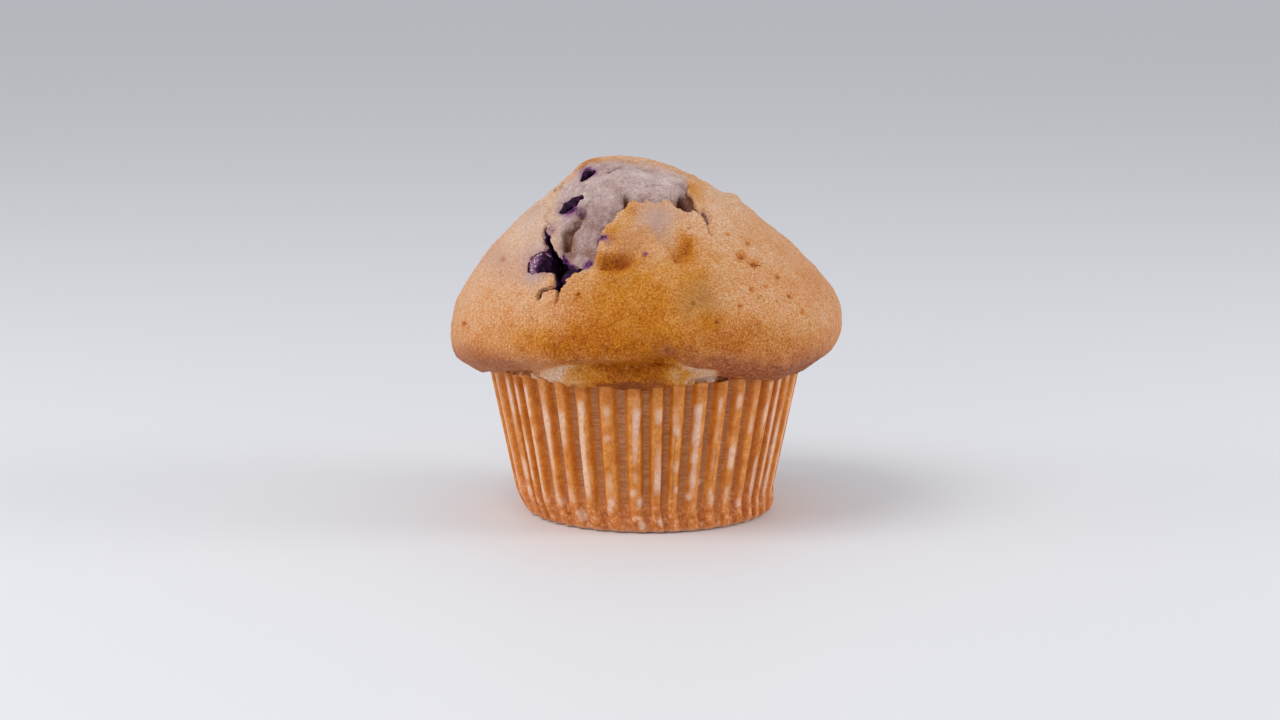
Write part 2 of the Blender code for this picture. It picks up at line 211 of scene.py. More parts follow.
def lobes(turn):
    """The cap bulges unevenly: broad to the left and right, a little less in front and behind."""
    turn = np.radians(turn)
    return (1.0 - 0.022 * np.cos(turn) ** 2 + 0.008 * np.sin(3 * turn) ** 2 * np.cos(turn)
            + 0.006 * np.sin(5 * turn + 0.6) * np.cos(turn))


def ring_quads(rings, count):
    """Quads between rings of `count` points each, which follow one another."""
    quads = []
    for ring in range(rings - 1):
        a, b = ring * count, (ring + 1) * count
        for column in range(count):
            beside = (column + 1) % count
            quads.append((a + column, a + beside, b + beside, b + column))
    return quads


def cap_mesh():
    """Points, quads and triangles of the smooth cap, with the plug that goes down into the case."""
    angle = 2 * math.pi * np.arange(COLUMNS) / COLUMNS
    across, along = np.sin(angle), -np.cos(angle)
    turn = degrees_from_front(across, along)
    lift = lip_lift(turn)
    level = np.zeros(COLUMNS)
    lip = np.maximum(CAP_OUTLINE[0][2] + 0.8 + lift, RIM_HEIGHT)
    rings = [  # radius, height and middle of each ring, first the plug and the neck
        (level + 0.3, level + PLUG_FLOOR, 0.0),
        (level + PLUG_RADIUS - 1.5, level + PLUG_FLOOR, 0.0),
        (level + PLUG_RADIUS, level + RIM_HEIGHT - 1.8, 0.0),
        (level + WALL_RADIUS, level + RIM_HEIGHT - 0.6, 0.0),
        (level + WALL_RADIUS + 0.2, lip, 0.0),
    ]
    curve = catmull_rom(CAP_OUTLINE, CAP_STEPS)
    for left, right, height, share in curve[:-1]:
        rings.append(((left + right) / 2 * lobes(turn), height + share * lift, (right - left) / 2))
    points = []
    for radius, height, middle in rings:
        points.append(np.stack([middle + radius * across, radius * along, height], axis=-1))
    points = np.concatenate(points)
    peak = (curve[-1][1], 0.0, curve[-1][2])
    points = np.vstack([points, peak, (0.0, 0.0, PLUG_FLOOR)]).astype(np.float32)
    triangles = []
    last = (len(rings) - 1) * COLUMNS
    for column in range(COLUMNS):
        beside = (column + 1) % COLUMNS
        triangles.append((last + column, last + beside, len(points) - 2))
        triangles.append((beside, column, len(points) - 1))
    quads = np.array(ring_quads(len(rings), COLUMNS), np.uint32)
    return points, quads, np.array(triangles, np.uint32)


# ---- fields


class Field:
    """Signed distances to a closed surface on a regular grid, in millimetres."""

    def __init__(self, points, quads, triangles, voxel, band):
        self.voxel = voxel
        self.transform = openvdb.createLinearTransform(voxelSize=voxel)
        grid = openvdb.FloatGrid.createLevelSetFromPolygons(
            points, triangles=triangles, quads=quads, transform=self.transform, halfWidth=band
        )
        low, high = grid.evalActiveVoxelBoundingBox()
        self.corner = np.array(low)
        self.values = np.empty(np.array(high) - self.corner + 1, np.float32)
        grid.copyToArray(self.values, ijk=low)

    def places(self, cells, start=0):
        """Where the grid's cells lie, given as three index arrays that count from `start`."""
        return (np.stack(cells, axis=-1) + start + self.corner).astype(np.float32) * self.voxel

    def block(self, low, high, below=np.inf):
        """A view of the values between two corners, its cells with less than `below`, and where
        they lie."""
        start = np.maximum(np.floor(low / self.voxel).astype(int) - self.corner, 0)
        stop = np.minimum(np.ceil(high / self.voxel).astype(int) - self.corner, self.values.shape)
        values = self.values[tuple(slice(a, b) for a, b in zip(start, stop))]
        cells = np.nonzero(values < below)
        return values, cells, self.places(cells, start)

    def sample(self, places):
        """The field at any places, interpolated between its cells."""
        cell = places / self.voxel - self.corner
        cell = np.clip(cell, 0, np.array(self.values.shape) - 1.001)
        base = cell.astype(np.int32)
        return between_cells(self.values, base, cell - base)

    def outward(self, places, step):
        """Unit vectors that point straight away from the surface."""
        slopes = []
        for axis in np.eye(3) * step:
            slopes.append(self.sample(places + axis) - self.sample(places - axis))
        slopes = np.stack(slopes, axis=-1)
        return slopes / np.maximum(np.linalg.norm(slopes, axis=-1, keepdims=True), 1e-6)

    def mesh(self):
        """Points and quads of the surface where the field is zero."""
        limit = 3 * self.voxel
        grid = openvdb.FloatGrid(limit)
        grid.transform = self.transform
        grid.copyFromArray(np.clip(self.values, -limit, limit), ijk=tuple(self.corner), tolerance=0)
        points, _, quads = grid.convertToPolygons(isovalue=0.0, adaptivity=0.0)
        return points, quads


LATTICE = 48  # cells of the noise before it repeats


def between_cells(table, base, share):
    """A table's values at places between its cells: the cells, and the share of the way past them."""
    total = 0.0
    for corner in np.ndindex(2, 2, 2):
        weight = np.prod(np.where(corner, share, 1 - share), axis=-1)
        i, j, k = (base + corner).T
        total = total + weight * table[i, j, k]
    return total


def noise(places, size, seed):
    """Smooth noise from about -1 to 1 that changes over `size` millimetres."""
    table = np.random.default_rng(seed).uniform(-1, 1, (LATTICE,) * 3).astype(np.float32)
    table = np.pad(table, (0, 1), mode="wrap")
    cell = places / size
    base = np.floor(cell).astype(np.int32)
    share = (cell - base).astype(np.float32)
    share = share ** 3 * (share * (share * 6 - 15) + 10)
    return between_cells(table, base % LATTICE, share) * 1.5


def noise_pair(places, size, seed):
    """Two noises, for a waver to the side and up on the front sheet."""
    return np.stack([noise(places, size, seed), noise(places, size, seed + 1)], axis=-1)


def front_sheet(places):
    """Where the eye sees these places on the front sheet: right and up."""
    up = places[..., 1] * EYE_SINE + places[..., 2] * EYE_COSINE
    nearer = places[..., 2] * EYE_SINE - places[..., 1] * EYE_COSINE
    spread = EYE_DISTANCE / (EYE_DISTANCE - nearer)
    right = EYE_AIM[0] + (places[..., 0] - EYE_AIM[0]) * spread
    return np.stack([right, EYE_AIM[1] + (up - EYE_AIM[1]) * spread], axis=-1)


def line_distance(spots, line, closed=False):
    """Distance from spots of the front sheet to a line, whether they are on its left, and how
    far along the line, from 0 to 1, their nearest point is."""
    points = np.array(line, float)
    ends = np.roll(points, -1, axis=0) if closed else points[1:]
    nearest = np.full(len(spots), np.inf)
    left = np.zeros(len(spots), bool)
    along = np.zeros(len(spots))
    for number, (a, b) in enumerate(zip(points, ends)):
        edge, offset = b - a, spots - a
        share = np.clip((offset @ edge) / (edge @ edge), 0, 1)
        distance = np.linalg.norm(offset - share[:, None] * edge, axis=-1)
        closer = distance < nearest
        nearest = np.where(closer, distance, nearest)
        side = edge[0] * offset[:, 1] - edge[1] * offset[:, 0] > 0
        left = np.where(closer, side, left)
        along = np.where(closer, (number + share) / len(ends), along)
    return nearest, left, along


def outline_distance(spots, outline):
    """Distance from spots of the front sheet to a closed outline, negative inside it."""
    corners = np.array(outline, float)
    inside = np.zeros(len(spots), bool)
    for a, b in zip(corners, np.roll(corners, -1, axis=0)):
        if a[1] == b[1]:
            continue
        crosses = (a[1] > spots[:, 1]) != (b[1] > spots[:, 1])
        crossing = a[0] + (b[0] - a[0]) * (spots[:, 1] - a[1]) / (b[1] - a[1])
        inside ^= crosses & (spots[:, 0] < crossing)
    nearest, _, _ = line_distance(spots, outline, closed=True)
    return np.where(inside, -nearest, nearest)


def spot_bell(spots, place, sizes):
    """1 at a place of the front sheet, falling to 0 around it; `sizes` is a pair, or one for both."""
    offset = (spots - np.array(place)) / np.array(sizes)
    return np.exp(-np.sum(offset ** 2, axis=-1))


# ---- crust, crumb, tears

SWELLS = (
    # place on the front sheet, half sizes, height
    ((-0.4, 65.8), (6, 2.6), 0.8), ((-3.4, 60.6), (5, 2.4), 0.45), ((-6.4, 52.6), (5, 2), 0.35),
    ((21, 71.6), (1.8, 1.6), 0.8), ((17.6, 72.4), (1.2, 1.4), -0.5), ((13, 74), (2.2, 1.8), 0.6),
    ((-21.4, 66), (2.4, 3.5), 0.5), ((-26, 65), (6, 5), 0.4), ((-31, 49), (7, 5), 0.4),
    ((30, 54), (8, 6), 0.5), ((5.4, 36.5), (2.6, 4), -0.7), ((-25.5, 70.5), (2.5, 2.2), -1.2),
    ((-22.4, 54.9), (1.3, 1.2), -0.9),
)
PITS = (
    # place on the front sheet, half size, height
    ((22.4, 57.7), 0.9, -0.4), ((25.2, 55.6), 0.8, -0.4), ((24, 60.8), 0.5, -0.5),
    ((-32.8, 57.1), 0.5, -0.5), ((-41.6, 42), 0.5, -0.5), ((0.1, 58), 0.5, -0.5),
    ((-15.4, 48.9), 0.4, -0.5), ((16.6, 42.4), 0.35, -0.4), ((19.4, 63), 0.4, -0.4),
    ((27.8, 50.6), 0.4, -0.4), ((30.4, 52.4), 0.4, -0.4), ((33.2, 48.2), 0.4, -0.4),
    ((24.6, 49.8), 0.4, -0.4), ((36.2, 44.6), 0.4, -0.4), ((22, 46), 0.4, -0.4),
)
CRUST_THICK = 0.8
PORES, PORES_FROM = 260, 14.0  # how many, and from what height over the grid's lowest cell

BERRIES = (
    # CAD node, half sizes as shares of the CAD ball's radius, tilt in degrees on the front sheet,
    # how far up, from -1 to 1, its dry and flecked part begins, and how far that part leans left;
    # the pale part on the upper left is partly a painted highlight, the bare dark lower right partly
    # painted shade
    ("berry_front", (0.9, 1, 1), 0, -0.1, 45), ("berry_upper", (1.2, 0.58, 1), 33, 0.9, 0),
    ("berry_fissure", (1, 1, 1), 0, 1.2, 0), ("berry_peak", (0.84, 0.34, 1), 30, 0.5, 0),
)
SOCKET_GAP, SOCKET_WAVER, SOCKET_DEPTH = 0.14, 0.12, 1.8


def seen_share(outward):
    """Cosine between the surface's outward direction and the direction to the eye."""
    return outward @ np.array([0.0, -EYE_COSINE, EYE_SINE])


def front_share(outward):
    """1 on what faces the eye, 0 on what faces away."""
    return smoothstep((seen_share(outward) + 0.05) / 0.15)


def fold(spots, line, depth, wide, sharp):
    """A crease that the crust sinks into from the line's left and rolls out of on its right."""
    away, left, along = line_distance(spots, line)
    taper = smoothstep(4 * np.minimum(along, 1 - along))
    roll = 0.3 * bell(away - 2.2, 1.6)
    return -depth * taper * np.where(left, bell(away, wide), bell(away, sharp) - roll)


def crust_relief(places, spots, facing):
    """Height of the crust over the smooth cap."""
    height = 0.40 * noise(places, 17.0, 1) + 0.20 * noise(places, 7.0, 2)
    height += 0.10 * noise(places, 3.0, 3) + 0.06 * noise(places, 1.3, 4)
    marks = 0.0
    for place, sizes, swell in SWELLS + PITS:
        marks = marks + swell * spot_bell(spots, place, sizes)
    for line, depth, wide, sharp in FOLDS:
        marks = marks + fold(spots, line, depth, wide, sharp)
    return height + facing * marks


def crumb_relief(places, spots):
    """Height of the torn crumb over the smooth cap."""
    height = -1.2 + 0.42 * noise(places, 6.0, 11) + 0.22 * noise(places, 2.8, 12)
    height += 0.14 * noise(places, 1.2, 13) + 0.07 * noise(places, 0.7, 14)
    height += 1.5 * spot_bell(spots, (-6.0, 76.0), (10.0, 4.0))
    distance, left, _ = line_distance(spots, LEDGE)
    height += np.where(left, 0.0, 0.8 * bell(distance, 3.6))
    away, _, _ = line_distance(spots, FRONT_LIP)
    height -= 0.9 * bell(away, 1.6)
    for outline, depth in GROOVES:
        inside = outline_distance(spots, outline)
        height -= depth * smoothstep(0.5 - inside / 0.7)
    return height


def ragged(places):
    """Sideways waver, on the front sheet, of the edges torn here."""
    return 0.45 * noise_pair(places, 2.4, 21) + 0.22 * noise_pair(places, 0.9, 23)


def burst_share(spots, outward):
    """1 where the burst has a torn edge, 0 where crumb passes smoothly into crust: on its left
    side and along its top."""
    return smoothstep((spots[:, 0] + 22.5) / 4.0) * smoothstep((seen_share(outward) - 0.12) / 0.3)


def tear_cuts(distance, spots, jagged):
    """Field of what the fissure and the cracks take away, negative inside the cuts."""
    floor = -(distance + TRENCH_DEPTH)
    narrowing = 0.12 * np.clip(-distance, 0, None)
    cut = np.maximum(outline_distance(spots + jagged, TRENCH_OUTLINE) + narrowing, floor)
    for line, half, depth in CRACKS:
        away, _, _ = line_distance(spots + 0.6 * jagged, line)
        taper = half * (1 + np.clip(distance, -depth, 0) / (depth * 1.3))
        cut = np.minimum(cut, np.maximum(away - taper, -(distance + depth)))
    return cut


def sculpt_crust(field):
    """Gives the smooth cap the crust's relief."""
    cells = np.nonzero(np.abs(field.values) < (BAND - 1) * field.voxel)
    places = field.places(cells)
    distance = field.values[cells]
    slopes = [np.gradient(field.values, axis=axis)[cells] for axis in range(3)]
    outward = np.stack(slopes, axis=-1)
    outward /= np.maximum(np.linalg.norm(outward, axis=-1, keepdims=True), 1e-6)
    spots = front_sheet(places - distance[:, None] * outward)
    facing = front_share(outward) * (places[:, 2] > MARKS_FROM)
    field.values[cells] = distance - crust_relief(places, spots, facing)


def carve_burst(field, deep):
    """Opens the crust over the crumb, with undercut edges, and cuts the fissure and cracks."""
    block, cells, places = field.block(BURST_LOW, BURST_HIGH, below=2.0)
    distance = deep.sample(places)
    reach = distance > -(TRENCH_DEPTH + 1.5)
    cells = tuple(axis[reach] for axis in cells)
    places, distance = places[reach], distance[reach]
    outward = deep.outward(places, 1.0)
    spots = front_sheet(places - distance[:, None] * outward)
    close = (np.abs(spots[:, 0]) < TEARS_HALF) & (spots[:, 1] > TEARS_FROM)
    close &= seen_share(outward) > -0.1
    cells = tuple(axis[close] for axis in cells)
    places, distance, spots, outward = places[close], distance[close], spots[close], outward[close]
    crust = block[cells]

    jagged = ragged(places)
    edge = outline_distance(spots + jagged, BURST_OUTLINE)
    torn = burst_share(spots, outward)
    lip = 0.30 * bell(edge - 0.7, 0.9) * torn
    thickness = CRUST_THICK + 0.25 * noise(places, 3.0, 25)
    shell = np.maximum(crust - lip, -(distance + thickness))
    shell = np.maximum(shell, -edge)
    height = crumb_relief(places, spots)
    undercut = smoothstep((edge - 0.2) / 1.2)
    height = np.where(edge > 0, height * (1 - undercut) - thickness * undercut * 0.2, height)
    height = height * torn + (1 - torn) * np.minimum(height + 1.2, 0.1)
    crumb = distance - height
    solid = np.where(edge > UNDERCUT, crust, np.minimum(shell, crumb))
    block[cells] = np.maximum(solid, -tear_cuts(distance, spots, jagged))


def add_tongue(field):
    """Joins the tongue of batter to the lip, as a bent roll that thins towards its ends."""
    middle, half = (TONGUE_FROM + TONGUE_TO) / 2, (TONGUE_TO - TONGUE_FROM) / 2
    stop = int((TONGUE_HEIGHT + 2 * TONGUE_TALL) / field.voxel) - field.corner[2]
    cells = np.nonzero(field.values[:, : field.values.shape[1] // 2, :stop] < np.inf)
    places = field.places(cells)
    turn = degrees_from_front(places[:, 0], places[:, 1])
    share = np.clip((turn - middle) / half, -1, 1)
    size = np.clip(1 - share ** 2, 0.02, 1) ** 0.35
    radius = np.hypot(places[:, 0], places[:, 1])
    height = places[:, 2] - TONGUE_HEIGHT - TONGUE_RISE * (1 - size)
    bumps = 0.35 * noise(places, 4.0, 31) + (0.15 + 0.45 * np.abs(share)) * noise(places, 1.7, 32)
    over = np.clip(np.abs(turn - middle) - half, 0, None) * math.radians(1) * TONGUE_RADIUS
    flat = np.hypot((radius - TONGUE_RADIUS) / TONGUE_THICK, height / TONGUE_TALL)
    roll = np.hypot((flat - size) * 0.5 * (TONGUE_THICK + TONGUE_TALL), over)
    roll = roll * np.sign(flat - size + over) - bumps
    slot = np.maximum(radius - (RIM_RADIUS + SLOT_OUT), places[:, 2] - (RIM_HEIGHT + SLOT_UP))
    slot = np.maximum(slot, (RIM_RADIUS - SLOT_IN) - radius)
    roll = np.maximum(roll, -slot)
    values = field.values[cells]
    gap = np.clip(TONGUE_MELT - np.abs(values - roll), 0, None) / TONGUE_MELT
    field.values[cells] = np.minimum(values, roll) - gap ** 2 * TONGUE_MELT / 4


class Berry:
    """An oval berry in the place of a CAD berry, its long side tilted on the front sheet."""

    def __init__(self, node, shares, tilt, dry_from, dry_lean, seed, deep):
        low, high = node_box(node)
        self.name = node + "_skin"
        self.node = node
        self.dry_from = dry_from
        self.dry_lean = math.radians(dry_lean)
        self.seed = seed
        self.centre = (low + high) / 2
        self.sizes = np.array(shares) * np.mean(high - low) / 2
        outward = deep.outward(self.centre[None, :], 1.0)[0]
        tilt = math.radians(tilt)
        up = np.array([0.0, EYE_SINE, EYE_COSINE])
        along = np.array([1.0, 0.0, 0.0]) * math.cos(tilt) + up * math.sin(tilt)
        along -= outward * (along @ outward)
        along /= np.linalg.norm(along)
        self.axes = np.stack([along, np.cross(outward, along), outward])

    def distance(self, places):
        """About the distance to the oval's surface, negative inside."""
        local = (places - self.centre) @ self.axes.T
        near = np.linalg.norm(local / self.sizes, axis=-1)
        return near * (near - 1) / np.maximum(np.linalg.norm(local / self.sizes ** 2, axis=-1), 1e-6)

    def dry_and_lit_share(self, points):
        """1 where the skin is dry and flecked with batter, 0 where it is bare and glossy; the pale part
        lies up and to the left and the dark part down and to the right, partly as painted highlight and
        painted shade.
        """
        local = ((points - self.centre) @ self.axes.T) / self.sizes
        upward = local[:, 1] * math.cos(self.dry_lean) - local[:, 0] * math.sin(self.dry_lean)
        return smoothstep((upward - self.dry_from + 0.35 * noise(points, 1.5, 63)) / 0.5 + 0.5)

    def skin(self, directions):
        """Points of the wrinkled skin in the given directions."""
        places = directions * self.sizes
        wrinkle = 0.30 * noise(places + 40 * self.seed, 2.0, 61)
        wrinkle += 0.14 * noise(places + 40 * self.seed, 0.8, 62)
        return self.centre + (places + directions * (wrinkle - 0.1)[:, None]) @ self.axes


def press_sockets(field, deep, berries):
    """Hollows that the berries sit in, a little larger than the berries and not deep."""
    for berry in berries:
        reach = max(berry.sizes) + 1.0
        block, cells, places = field.block(berry.centre - reach, berry.centre + reach)
        waver = noise(places, 1.6, 33) + noise(places, 0.8, 34)
        hollow = berry.distance(places) - SOCKET_GAP + SOCKET_WAVER * waver
        hollow = np.maximum(hollow, -(deep.sample(places) + SOCKET_DEPTH))
        block[cells] = np.maximum(block[cells], -hollow)


def prick_pores(field):
    """Presses small pores into the crust, at places spread evenly at random."""
    source = np.random.default_rng(5)
    surface = np.argwhere(np.abs(field.values) < 0.2)
    surface = surface[surface[:, 2] * field.voxel > PORES_FROM]
    for index in source.choice(len(surface), PORES, replace=False):
        cell = surface[index]
        radius = source.uniform(0.3, 0.6) * source.uniform(0.6, 1.0)
        reach = int(radius / field.voxel) + 2
        start = np.maximum(cell - reach, 0)
        window = tuple(slice(a, a + 2 * reach + 1) for a in start)
        part = field.values[window]
        grid = np.stack(np.meshgrid(*[np.arange(n) for n in part.shape], indexing="ij"), axis=-1)
        away = np.linalg.norm((grid - (cell - start)) * field.voxel, axis=-1)
        field.values[window] = np.maximum(part, 0.8 * (radius - away))


# ---- mesh


def largest_island(points, quads):
    """Leaves out the crumbs of mesh that hang on nothing."""
    edges = np.concatenate([quads[:, [0, 1]], quads[:, [1, 2]], quads[:, [2, 3]]])
    label = np.arange(len(points))
    while True:
        lowest = np.minimum(label[edges[:, 0]], label[edges[:, 1]])
        fresh = label.copy()
        np.minimum.at(fresh, edges[:, 0], lowest)
        np.minimum.at(fresh, edges[:, 1], lowest)
        fresh = fresh[fresh]
        if np.array_equal(fresh, label):
            break
        label = fresh
    names, counts = np.unique(label, return_counts=True)
    keep = label == names[np.argmax(counts)]
    number = np.cumsum(keep) - 1
    return points[keep], number[quads[keep[quads[:, 0]]]]


def make_object(name, points, faces):
    """A mesh object from points in millimetres and faces of one size."""
    mesh = bpy.data.meshes.new(name)
    faces = np.asarray(faces, np.int32)
    mesh.vertices.add(len(points))
    mesh.vertices.foreach_set("co", (np.asarray(points, np.float32) * MM).ravel())
    mesh.loops.add(faces.size)
    mesh.loops.foreach_set("vertex_index", faces.ravel())
    mesh.polygons.add(len(faces))
    mesh.polygons.foreach_set("loop_start", np.arange(0, faces.size, faces.shape[1], dtype=np.int32))
    mesh.update(calc_edges=True)
    mesh.validate()
    mesh.shade_smooth()
    obj = bpy.data.objects.new(name, mesh)
    bpy.context.scene.collection.objects.link(obj)
    return obj


def thin_out(obj, triangles):
    """Fewer triangles where the surface is even, with the modifier's result kept as the mesh."""
    count = sum(len(polygon.vertices) - 2 for polygon in obj.data.polygons)
    modifier = obj.modifiers.new("thin", "DECIMATE")
    modifier.ratio = triangles / count
    ready = obj.evaluated_get(bpy.context.evaluated_depsgraph_get())
    mesh = bpy.data.meshes.new_from_object(ready)
    obj.modifiers.clear()
    obj.data = mesh
    mesh.shade_smooth()


def mesh_points(obj):
    """The mesh's points in millimetres."""
    points = np.empty(len(obj.data.vertices) * 3, np.float32)
    obj.data.vertices.foreach_get("co", points)
    return points.reshape(-1, 3) / MM


def set_attributes(obj, **layers):
    for name, values in layers.items():
        layer = obj.data.attributes.new(name, "FLOAT", "POINT")
        layer.data.foreach_set("value", np.asarray(values, np.float32))


# ---- materials


class Nodes:
    """Short names for the nodes that the materials are made of."""

    def __init__(self, name):
        self.material = bpy.data.materials.new(name)
        self.material.use_nodes = True
        self.tree = self.material.node_tree

    def put(self, socket, value):
        if isinstance(value, bpy.types.NodeSocket):
            self.tree.links.new(value, socket)
        else:
            socket.default_value = value

    def add(self, kind, output, **inputs):
        """An output of a new node with these inputs, whose names have _ for a space."""
        node = self.tree.nodes.new("ShaderNode" + kind)
        for name, value in inputs.items():
            self.put(node.inputs[name.replace("_", " ")], value)
        return node.outputs[output]

    def attribute(self, name):
        node = self.tree.nodes.new("ShaderNodeAttribute")
        node.attribute_name = name
        return node.outputs["Fac"]

    def noise(self, vector, size, detail=3.0, rough=0.55):
        """Noise from 0 to 1 with features of about `size` millimetres."""
        return self.add("TexNoise", "Fac", Vector=vector, Scale=1.0 / (size * MM), Detail=detail,
                        Roughness=rough)

    def math(self, operation, a, b):
        node = self.tree.nodes.new("ShaderNodeMath")
        node.operation = operation
        self.put(node.inputs[0], a)
        self.put(node.inputs[1], b)
        return node.outputs[0]

    def total(self, *parts):
        """The sum of values, each times its share."""
        total = 0.0
        for value, share in parts:
            total = self.math("ADD", total, self.math("MULTIPLY", value, share))
        return total

    def spread(self, value, low, high, to_low=0.0, to_high=1.0):
        """The value's stretch from low to high carried to another stretch, and held within it."""
        return self.add("MapRange", "Result", Value=value, From_Min=low, From_Max=high,
                        To_Min=to_low, To_Max=to_high)

    def vary(self, value, noise, reach):
        """The value with a noise added, which raises or lowers it by up to about `reach`."""
        return self.math("ADD", value, self.spread(noise, 0.3, 0.7, -reach, reach))

    def ramp(self, value, *stops):
        """Colours that run into one another, each with its position from 0 to 1."""
        node = self.tree.nodes.new("ShaderNodeValToRGB")
        self.put(node.inputs["Fac"], value)
        elements = node.color_ramp.elements
        while len(elements) < len(stops):
            elements.new(0.5)
        for element, (position, colour) in zip(elements, stops):
            element.position = position
            element.color = shade(colour)
        return node.outputs["Color"]

    def mix(self, factor, a, b):
        node = self.tree.nodes.new("ShaderNodeMix")
        node.data_type = "RGBA"
        self.put(node.inputs["Factor"], factor)
        self.put(node.inputs["A"], a)
        self.put(node.inputs["B"], b)
        return node.outputs["Result"]

    def surface(self, colour, roughness, specular, relief=None, depth=0.0):
        """The finished material, with relief of `depth` millimetres between height 0 and 1."""
        shader = self.tree.nodes["Principled BSDF"]
        self.put(shader.inputs["Base Color"], colour)
        self.put(shader.inputs["Roughness"], roughness)
        shader.inputs["Specular IOR Level"].default_value = specular
        if relief is not None:
            bump = self.add("Bump", "Normal", Height=relief, Distance=depth * MM)
            self.put(shader.inputs["Normal"], bump)
        return self.material


def shade(colour):
    """A colour given as 0 to 255 display values, as the linear values that shaders take."""
    linear = []
    for value in colour:
        value /= 255.0
        linear.append(value / 12.92 if value <= 0.04045 else ((value + 0.055) / 1.055) ** 2.4)
    return (*linear, 1.0)


def crust_colour(n, place, fine):
    """Peach, golden and red-brown crust, mottled finely, with a lilac or green haze in places; its bake
    carries a painted sheen and painted shade as well as browning.
    """
    speck = n.noise(place, 0.42, 1.0, 0.5)
    bake_and_light_level = n.vary(n.vary(n.attribute("bake"), fine, 0.10), speck, 0.17)
    bake_and_light_level = n.vary(bake_and_light_level, n.noise(place, 2.4, 3.0, 0.6), 0.07)
    golden = n.ramp(bake_and_light_level, (0.0, (216, 174, 114)), (0.3, (202, 140, 64)), (0.5, (190, 119, 26)),
                    (0.7, (172, 92, 0)), (0.88, (140, 68, 2)), (1.0, (106, 44, 4)))
    peach = n.ramp(bake_and_light_level, (0.0, (216, 190, 170)), (0.25, (208, 166, 132)), (0.5, (203, 144, 96)),
                   (0.72, (198, 126, 68)), (0.88, (164, 96, 56)), (1.0, (112, 60, 34)))
    peach = n.mix(n.spread(speck, 0.44, 0.26, 0.0, 0.45), peach, shade((232, 204, 178)))
    gold = n.vary(n.attribute("gold"), n.noise(place, 3.2, 3.0, 0.6), 0.15)
    colour = n.mix(gold, peach, golden)
    colour = n.mix(n.spread(speck, 0.56, 0.74, 0.0, 0.35), colour, shade((144, 76, 30)))
    mottle = n.ramp(n.noise(place, 0.8, 3.0, 0.7), (0.3, (108, 50, 26)), (0.5, (155, 84, 46)),
                    (0.7, (198, 128, 84)))
    # the lip's mottled red-brown lower edge: partly browning, partly painted shade where the lip faces
    # down
    colour = n.mix(n.attribute("rim"), colour, mottle)
    colour = n.mix(n.attribute("green"), colour, shade((140, 116, 78)))
    haze = n.math("MULTIPLY", n.attribute("haze"), n.spread(fine, 0.35, 0.65, 0.6, 1.2))
    return n.mix(haze, colour, shade((178, 152, 145)))


def crumb_colour(n, place):
    """Soft, pale lilac-grey crumb, darker and browner where its tone is low: painted shade in its
    hollows, depths and cracks.
    """
    tone = n.vary(n.attribute("crumb_tone"), n.noise(place, 0.5, 2.0, 0.6), 0.16)
    tone = n.vary(tone, n.noise(place, 2.6, 2.0, 0.5), 0.13)
    return n.ramp(tone, (0.0, (118, 70, 44)), (0.25, (138, 102, 88)), (0.5, (162, 134, 128)),
                  (0.75, (188, 164, 158)), (1.0, (214, 194, 184)))


def cake_material():
    """Crust or crumb, with berry juice where it ran, near black in the fissure where it is partly
    painted shade, and fine relief with scattered pores.
    """
    n = Nodes("baked cake")
    place = n.add("TexCoord", "Object")
    fine = n.noise(place, 0.55, 2.0, 0.6)
    crumb, stained = n.attribute("crumb"), n.attribute("stain")
    colour = n.mix(crumb, crust_colour(n, place, fine), crumb_colour(n, place))
    mottle = n.spread(n.noise(place, 0.5, 3.0, 0.7), 0.3, 0.7, 0.4, 1.35)
    juice = n.math("MAXIMUM", n.math("MULTIPLY", stained, mottle), n.spread(stained, 0.8, 1.0))
    stain = n.ramp(juice, (0.0, (150, 108, 132)), (0.5, (96, 42, 92)), (0.85, (40, 14, 48)),
                   (1.0, (12, 5, 14)))
    colour = n.mix(n.spread(juice, 0.02, 0.5), colour, stain)
    cells = n.add("TexVoronoi", "Distance", Vector=place, Scale=1.0 / (1.3 * MM))
    pores, grain = n.spread(cells, 0.0, 0.35), n.noise(place, 0.28, 2.0, 0.6)
    relief = n.total((fine, 0.5), (pores, 0.3), (grain, 0.3))
    return n.surface(colour, n.spread(crumb, 0.0, 1.0, 0.52, 0.85), 0.12, relief, 0.38)


